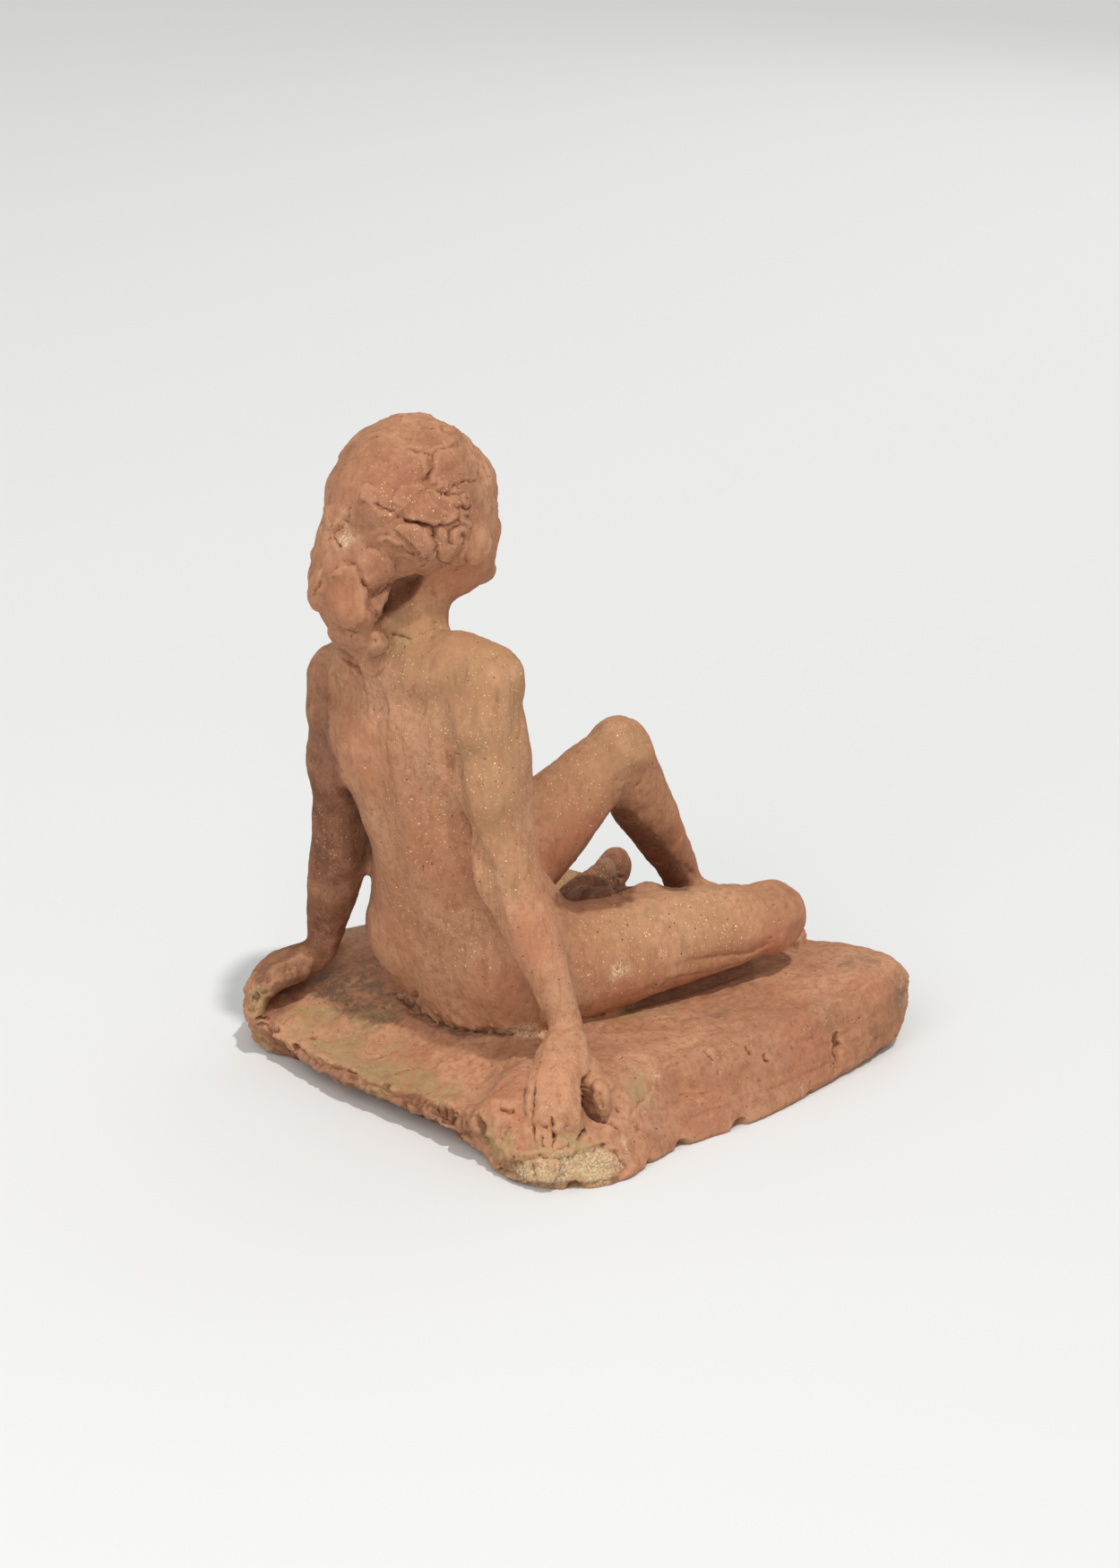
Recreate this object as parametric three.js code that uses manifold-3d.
import * as THREE from 'three';
import { mergeVertices } from 'three/addons/utils/BufferGeometryUtils.js';
import Module from 'manifold-3d';

// A seated figure study in fired clay, modelled in one piece with its rough slab. Millimetres, Z up.
// The figure faces -Y and its right side is -X. It leans back on both arms, one leg folded flat and
// the other knee raised. The slab's flat underside is the ground.

const slabThickness = 31;
const slabBackThickness = 15;
const headHeight = 65;
const handThickness = 6;

const at = (x, y, z) => new THREE.Vector3(x, y, z);
const between = (a, b, share) => a.clone().lerp(b, share);

// Places of the joints, for a body that would stand about 450 mm tall.
const seat = at(6, 40, 54);
const waist = at(2, 62, 98);
const neckBase = at(-1, 85, 184);
const skull = at(-4, 79, 245);
const shoulderR = at(-41, 83, 188);
const elbowR = at(-44, 76, 114);
const wristR = at(-64, 63, 48);
const knucklesR = at(-81, 83, 37);
const shoulderL = at(41, 81, 168);
const elbowL = at(50, 75, 100);
const wristL = at(69, 72, 43);
const knucklesL = at(82, 88, 34);
const hipR = at(-18, 42, 51);
const kneeR = at(-56, -57, 57);
const ankleR = at(36, -40, 41);
const ballR = at(53, -77, 42);
const hipL = at(27, 46, 54);
const kneeL = at(-6, -22, 126);
const ankleL = at(10, -76, 50);
const ballL = at(-28, -88, 38);

const toBack = at(0, 1, 0);
const toLeft = at(1, 0, 0);
const up = at(0, 0, 1);

// A closed form swept along a smooth line. Each station is a point and the half width and half depth
// there; width runs along the side direction, which may turn from one end to the other.
function sweep(stations, { side = toLeft, sideEnd = side, sides = 14, rings = 12, bluntness = 4 } = {}) {
  const line = new THREE.CatmullRomCurve3(stations.map(([point]) => point));
  const halfSizes = stations.map(([, wide, deep = wide]) => at(wide, deep, 0));
  const halves = new THREE.CatmullRomCurve3(halfSizes, false, 'catmullrom');
  const form = new THREE.SphereGeometry(1, sides, rings);
  const corners = form.attributes.position;
  const corner = new THREE.Vector3();
  for (let i = 0; i < corners.count; i++) {
    corner.fromBufferAttribute(corners, i);
    const along = THREE.MathUtils.clamp((1 - corner.y) / 2, 0, 1);
    const swell = (1 - Math.min(1, Math.abs(corner.y)) ** bluntness) ** (1 / bluntness);
    const angle = Math.atan2(corner.z, corner.x);
    const run = line.getTangent(along);
    const across = between(side, sideEnd, along);
    across.addScaledVector(run, -across.dot(run)).normalize();
    const deepways = new THREE.Vector3().crossVectors(run, across);
    const half = halves.getPoint(along);
    const place = line.getPoint(along)
      .addScaledVector(across, Math.cos(angle) * half.x * swell)
      .addScaledVector(deepways, Math.sin(angle) * half.y * swell);
    corners.setXYZ(i, place.x, place.y, place.z);
  }
  return form;
}

// A rounded mass, with its half sizes along X, Y and Z before it is turned.
function mass(centre, halfX, halfY, halfZ, turn = [0, 0, 0], sides = 14, rings = 9) {
  const form = new THREE.SphereGeometry(1, sides, rings);
  form.rotateX(Math.PI / 2);
  form.scale(halfX, halfY, halfZ);
  form.applyQuaternion(new THREE.Quaternion().setFromEuler(new THREE.Euler(...turn)));
  return form.translate(centre.x, centre.y, centre.z);
}

const wasm = await Module();
wasm.setup();

function toSolid(form) {
  const bare = form.clone();
  bare.deleteAttribute('normal');
  bare.deleteAttribute('uv');
  const merged = mergeVertices(bare, 0.001);
  return new wasm.Manifold(new wasm.Mesh({
    numProp: 3,
    vertProperties: Float32Array.from(merged.attributes.position.array),
    triVerts: Uint32Array.from(merged.index.array),
  }));
}

const joinAll = (forms) => forms.map(toSolid).reduce((whole, next) => whole.add(next));

// The slab is a hand-cut square of clay. Its base and its top rim have outlines of their own, because
// the back edge is thin and hangs over the base, the right side slopes and one corner bulges.
function makeSlab() {
  const onGround = ([x, y]) => at(x, y, 0);
  const base = new THREE.CatmullRomCurve3([
    [-107, 80], [-101, 41], [-105, -1], [-99, -52], [-92, -86],
    [-86, -102], [-60, -98], [-30, -90], [20, -85], [68, -83],
    [98, -76], [102, -40], [103, 8], [101, 46], [85, 92],
    [54, 86], [17, 90], [-32, 91], [-58, 103], [-90, 101],
  ].map(onGround), true);
  const rim = new THREE.CatmullRomCurve3([
    [-92, 72], [-86, 38], [-92, 0], [-94, -48], [-97, -88],
    [-91, -108], [-61, -112], [-30, -98], [20, -93], [68, -92],
    [103, -83], [109, -40], [111, 10], [113, 50], [99, 90],
    [54, 102], [15, 104], [-27, 103], [-56, 105], [-84, 97],
  ].map(onGround), true);
  const profile = [
    [0, 0], [0.97, 0], [1, 0.12], [1, 0.45], [0.985, 0.78], [0.94, 0.95], [0.85, 1], [0.45, 1], [0, 1],
  ];
  const segments = 56;
  const puckProfile = profile.map(([reach, level]) => new THREE.Vector2(reach, level));
  const puck = new THREE.LatheGeometry(puckProfile, segments);
  const corners = puck.attributes.position;
  for (let i = 0; i < corners.count; i++) {
    const [reach, level] = profile[i % profile.length];
    const turn = (Math.floor(i / profile.length) % segments) / segments;
    const lean = Math.min(1, level * 1.4);
    const { x, y } = between(base.getPoint(turn), rim.getPoint(turn), lean).multiplyScalar(reach);
    const backFall = THREE.MathUtils.smoothstep(y, 46, 95) * THREE.MathUtils.smoothstep(x, -62, -36);
    const leftEnd = THREE.MathUtils.smoothstep(x, 55, 92);
    const thickness = slabThickness - (slabThickness - slabBackThickness) * backFall * (1 - 0.6 * leftEnd);
    const frontRise = 3 * THREE.MathUtils.smoothstep(-y, 20, 90);
    const cornerRise = 3 * THREE.MathUtils.smoothstep(-y, 50, 100) * THREE.MathUtils.smoothstep(-x, 40, 90);
    corners.setXYZ(i, x, y, level * (thickness + frontRise + cornerRise));
  }
  return puck;
}

function makeTorso() {
  const shoulderLine = shoulderL.clone().sub(shoulderR).normalize();
  return [
    sweep([
      [at(6, 36, 26), 44, 29], [seat, 48, 31], [at(7, 51, 78), 44, 30], [waist, 35, 24],
      [at(1, 73, 128), 36, 24], [at(1, 79, 152), 40, 22], [at(1, 83, 171), 38, 17], [at(1, 86, 190), 15, 13],
    ], { sideEnd: shoulderLine, sides: 20, rings: 17, bluntness: 7 }),
    sweep([
      [between(shoulderR, shoulderL, -0.03), 13, 12],
      [between(shoulderR, neckBase, 0.45).add(at(0, 1, 2)), 15, 12],
      [neckBase.clone().add(at(0, 0, -3)), 17, 14],
      [between(shoulderL, neckBase, 0.45).add(at(0, 1, 2)), 15, 12],
      [between(shoulderR, shoulderL, 1.03), 12, 11],
    ], { side: toBack, sides: 12, rings: 12 }),
    mass(at(-17, 43, 50), 24, 24, 24, [0.2, 0, 0]),
    mass(at(28, 44, 50), 25, 24, 24, [0.2, 0, 0]),
    mass(at(-20, 90, 154), 17, 9, 21, [-0.2, 0.15, 0.2], 10, 7),
    mass(at(24, 91, 146), 17, 9, 21, [-0.2, -0.15, -0.2], 10, 7),
    mass(at(-16, 59, 143), 13, 12, 12, [0.3, 0, 0], 10, 7),
    mass(at(20, 60, 139), 13, 12, 12, [0.3, 0, 0], 10, 7),
  ];
}

function makeHead() {
  const brow = skull.y - 26;
  const half = headHeight / 2;
  return [
    sweep([[neckBase.clone().add(at(0, 0, -10)), 16, 15], [between(neckBase, skull, 0.3), 13, 13],
      [between(neckBase, skull, 0.75), 13, 15]], { sides: 16, rings: 8, bluntness: 6 }),
    mass(skull, 26.5, 30, half - 4, [0.12, 0, 0.1], 18, 12),
    mass(skull.clone().add(at(-2, -9, -14)), 20, 21, 23, [0.25, 0, 0.1], 16, 10),
    mass(at(skull.x - 3, brow, skull.z - 8), 3.2, 4.5, 7, [0.3, 0, 0.1], 8, 6),
    mass(at(skull.x - 3, brow + 4, skull.z - 29), 9, 8, 6, [0, 0, 0.1], 10, 6),
    mass(at(skull.x - 26, skull.y - 2, skull.z - 8), 3.5, 6, 9, [0.15, 0, -0.25], 8, 6),
    mass(at(skull.x + 26, skull.y - 5, skull.z - 8), 3.5, 6, 9, [0.15, 0, 0.45], 8, 6),
  ];
}

// The hair is a cap of pressed lumps over the skull, drawn back into a low tail down to the shoulders.
function makeHair() {
  const lumps = [];
  for (const [fall, count, offset] of [[0.5, 3, 0.2], [1.3, 6, 0.6]]) {
    for (let i = 0; i < count; i++) {
      const turn = ((i + offset) / count) * Math.PI * 2;
      const back = Math.cos(turn);
      if (back < -0.5) continue;
      const out = at(Math.sin(turn) * Math.sin(fall) * 18, back * Math.sin(fall) * 22, Math.cos(fall) * 19);
      const bulk = 13.5 + Math.sin(i * 2.4 + fall * 5);
      lumps.push(mass(skull.clone().add(out).add(at(1, 5, 2)), bulk, bulk, bulk, [fall, 0, turn], 9, 6));
    }
  }
  return [
    mass(skull.clone().add(at(2, 6, 3)), 29, 32, headHeight / 2 - 1.2, [-0.1, 0, 0.1], 16, 11),
    ...lumps,
    sweep([
      [at(1, 101, 252), 17, 12], [at(2, 108, 236), 17, 13], [at(4, 110, 217), 15, 12],
      [at(5, 105, 202), 12, 9], [at(5, 100, 188), 9, 6],
    ], { sides: 14, rings: 12 }),
    mass(at(-7, 112, 218), 9, 8, 12, [0.2, 0, 0.2], 10, 8),
    mass(at(13, 111, 222), 9, 8, 13, [0.2, 0, -0.3], 10, 8),
  ];
}

// One arm from the shoulder to the wrist: rounded at the shoulder, slim at the elbow and wrist.
function makeArm(shoulder, elbow, wrist, side) {
  const upper = 14.5;
  const fore = 12;
  const slim = 7.2;
  return [
    mass(shoulder.clone().add(at(side, 0, -3)), 14.5, 14.5, 17, [0, side * 0.15, 0], 14, 10),
    sweep([
      [shoulder, 13, 13], [between(shoulder, elbow, 0.4), upper, upper + 0.5],
      [between(shoulder, elbow, 0.85), fore, fore + 0.5], [between(elbow, wrist, 0.12), fore, fore],
      [between(elbow, wrist, 0.4), fore - 0.8, fore - 0.6], [between(elbow, wrist, 0.8), slim + 1, slim],
      [wrist, slim, slim - 0.4], [wrist.clone().add(at(side * 5, 7, -5)), slim, slim - 1],
    ], { side: toLeft, sides: 13, rings: 16, bluntness: 6 }),
  ];
}

// One hand pressed flat at a corner of the slab, its fingers bent down over the edge in one mass with
// the thumb apart.
function makeHand(wrist, knuckles, side, fall, thumbWay) {
  const reach = knuckles.clone().sub(wrist).setZ(0).normalize();
  const crosswise = new THREE.Vector3().crossVectors(reach, up).normalize();
  const tip = knuckles.clone().addScaledVector(reach, 7).add(at(0, 0, -fall));
  const forms = [
    sweep([
      [wrist, 7.5, 6.5], [between(wrist, knuckles, 0.45), 11, handThickness + 1],
      [knuckles, 14, handThickness],
      [between(knuckles, tip, 0.5).addScaledVector(reach, 2), 13.5, handThickness - 0.5],
      [tip, 11.5, handThickness - 1.5],
    ], { side: crosswise, sides: 12, rings: 11, bluntness: 5 }),
  ];
  const thumbRoot = between(wrist, knuckles, 0.45).addScaledVector(crosswise, thumbWay * 8).add(at(0, 0, -2));
  const thumbTip = between(wrist, knuckles, 0.95).addScaledVector(crosswise, thumbWay * 19).add(at(0, 0, -7));
  const thumb = [[thumbRoot, 5], [between(thumbRoot, thumbTip, 0.6), 4.8], [thumbTip, 4.5]];
  forms.push(sweep(thumb, { side: up, sides: 8, rings: 6 }));
  return forms;
}

function makeFoldedLeg() {
  const heel = ankleR.clone().add(at(6, 7, -2));
  return [
    sweep([
      [hipR.clone().add(at(2, 4, 0)), 24, 23], [between(hipR, kneeR, 0.25).add(at(-1, 0, 1)), 23, 22],
      [between(hipR, kneeR, 0.6).add(at(0, 0, 1.5)), 20, 18],
      [between(hipR, kneeR, 0.9).add(at(0, 0, 1)), 16, 15], [kneeR.clone().add(at(-1, -5, 0)), 12, 13],
    ], { side: up, sides: 16, rings: 14, bluntness: 5 }),
    mass(kneeR.clone().add(at(0, 0, 1)), 14.5, 16, 15.5, [0, 0, -0.3], 14, 9),
    sweep([
      [kneeR.clone().add(at(0, 0, -3)), 13, 12], [between(kneeR, ankleR, 0.3).add(at(0, -3, -4)), 13, 12.5],
      [between(kneeR, ankleR, 0.65), 10.5, 10], [ankleR, 8, 8], [heel, 8.5, 8],
    ], { side: up, sides: 13, rings: 12, bluntness: 5 }),
    sweep([
      [heel.clone().add(at(-2, 3, 0)), 8.5, 7.5], [between(ankleR, ballR, 0.3).add(at(3, 0, 0)), 9.5, 7],
      [between(ankleR, ballR, 0.65), 9.5, 6], [ballR, 11, 6.5], [ballR.clone().add(at(3, -10, 2)), 9, 5.5],
    ], { side: up, sides: 12, rings: 12, bluntness: 5 }),
  ];
}

function makeRaisedLeg() {
  const heel = ankleL.clone().add(at(7, 3, -10));
  const pointing = ballL.clone().sub(heel).setZ(0).normalize();
  const acrossFoot = new THREE.Vector3().crossVectors(pointing, up);
  return [
    sweep([
      [hipL.clone().add(at(0, 6, -2)), 21, 23], [between(hipL, kneeL, 0.25), 20, 22],
      [between(hipL, kneeL, 0.6), 17.5, 19], [between(hipL, kneeL, 0.9), 13.5, 14],
      [kneeL.clone().add(at(-1, -3, 1)), 11, 11],
    ], { side: toLeft, sides: 16, rings: 14, bluntness: 5 }),
    mass(kneeL, 13, 13.5, 13, [0.4, 0, 0], 14, 9),
    sweep([
      [kneeL.clone().add(at(0, -1, 0)), 13, 12], [between(kneeL, ankleL, 0.3).add(at(1, 2, 0)), 13, 14],
      [between(kneeL, ankleL, 0.65).add(at(0, 1, 0)), 10.5, 11], [between(kneeL, ankleL, 0.92), 8, 8.5],
      [ankleL.clone().add(at(1, 0, -6)), 9, 9],
    ], { side: toLeft, sides: 13, rings: 13, bluntness: 5 }),
    sweep([
      [heel, 8.5, 9], [between(heel, ballL, 0.3).add(at(0, 0, 3)), 9, 10],
      [between(heel, ballL, 0.65).add(at(0, 0, 1)), 10.5, 7.5], [ballL, 11.5, 6],
      [ballL.clone().addScaledVector(pointing, 12).add(at(0, 0, -2)), 9.5, 4.5],
    ], { side: acrossFoot, sides: 12, rings: 12, bluntness: 5 }),
  ];
}

const fired = new THREE.MeshStandardMaterial({ color: 0xb5805f, roughness: 0.9, metalness: 0 });

const whole = joinAll([
  makeSlab(),
  ...makeTorso(),
  ...makeHead(),
  ...makeHair(),
  ...makeArm(shoulderR, elbowR, wristR, -1),
  ...makeArm(shoulderL, elbowL, wristL, 1),
  ...makeHand(wristR, knucklesR, -1, 18, -1),
  ...makeHand(wristL, knucklesL, 1, 20, 1),
  ...makeFoldedLeg(),
  ...makeRaisedLeg(),
]).getMesh();

const body = new THREE.BufferGeometry();
body.setAttribute('position', new THREE.BufferAttribute(whole.vertProperties, 3));
body.setIndex(new THREE.BufferAttribute(whole.triVerts, 1));
body.computeBoundingBox();
const middle = body.boundingBox.getCenter(new THREE.Vector3());
body.translate(-middle.x, -middle.y, -body.boundingBox.min.z);
body.computeVertexNormals();

const figure = new THREE.Mesh(body, fired);
figure.name = 'seated_figure_on_slab';

const group = new THREE.Group();
group.add(figure);

export default group;
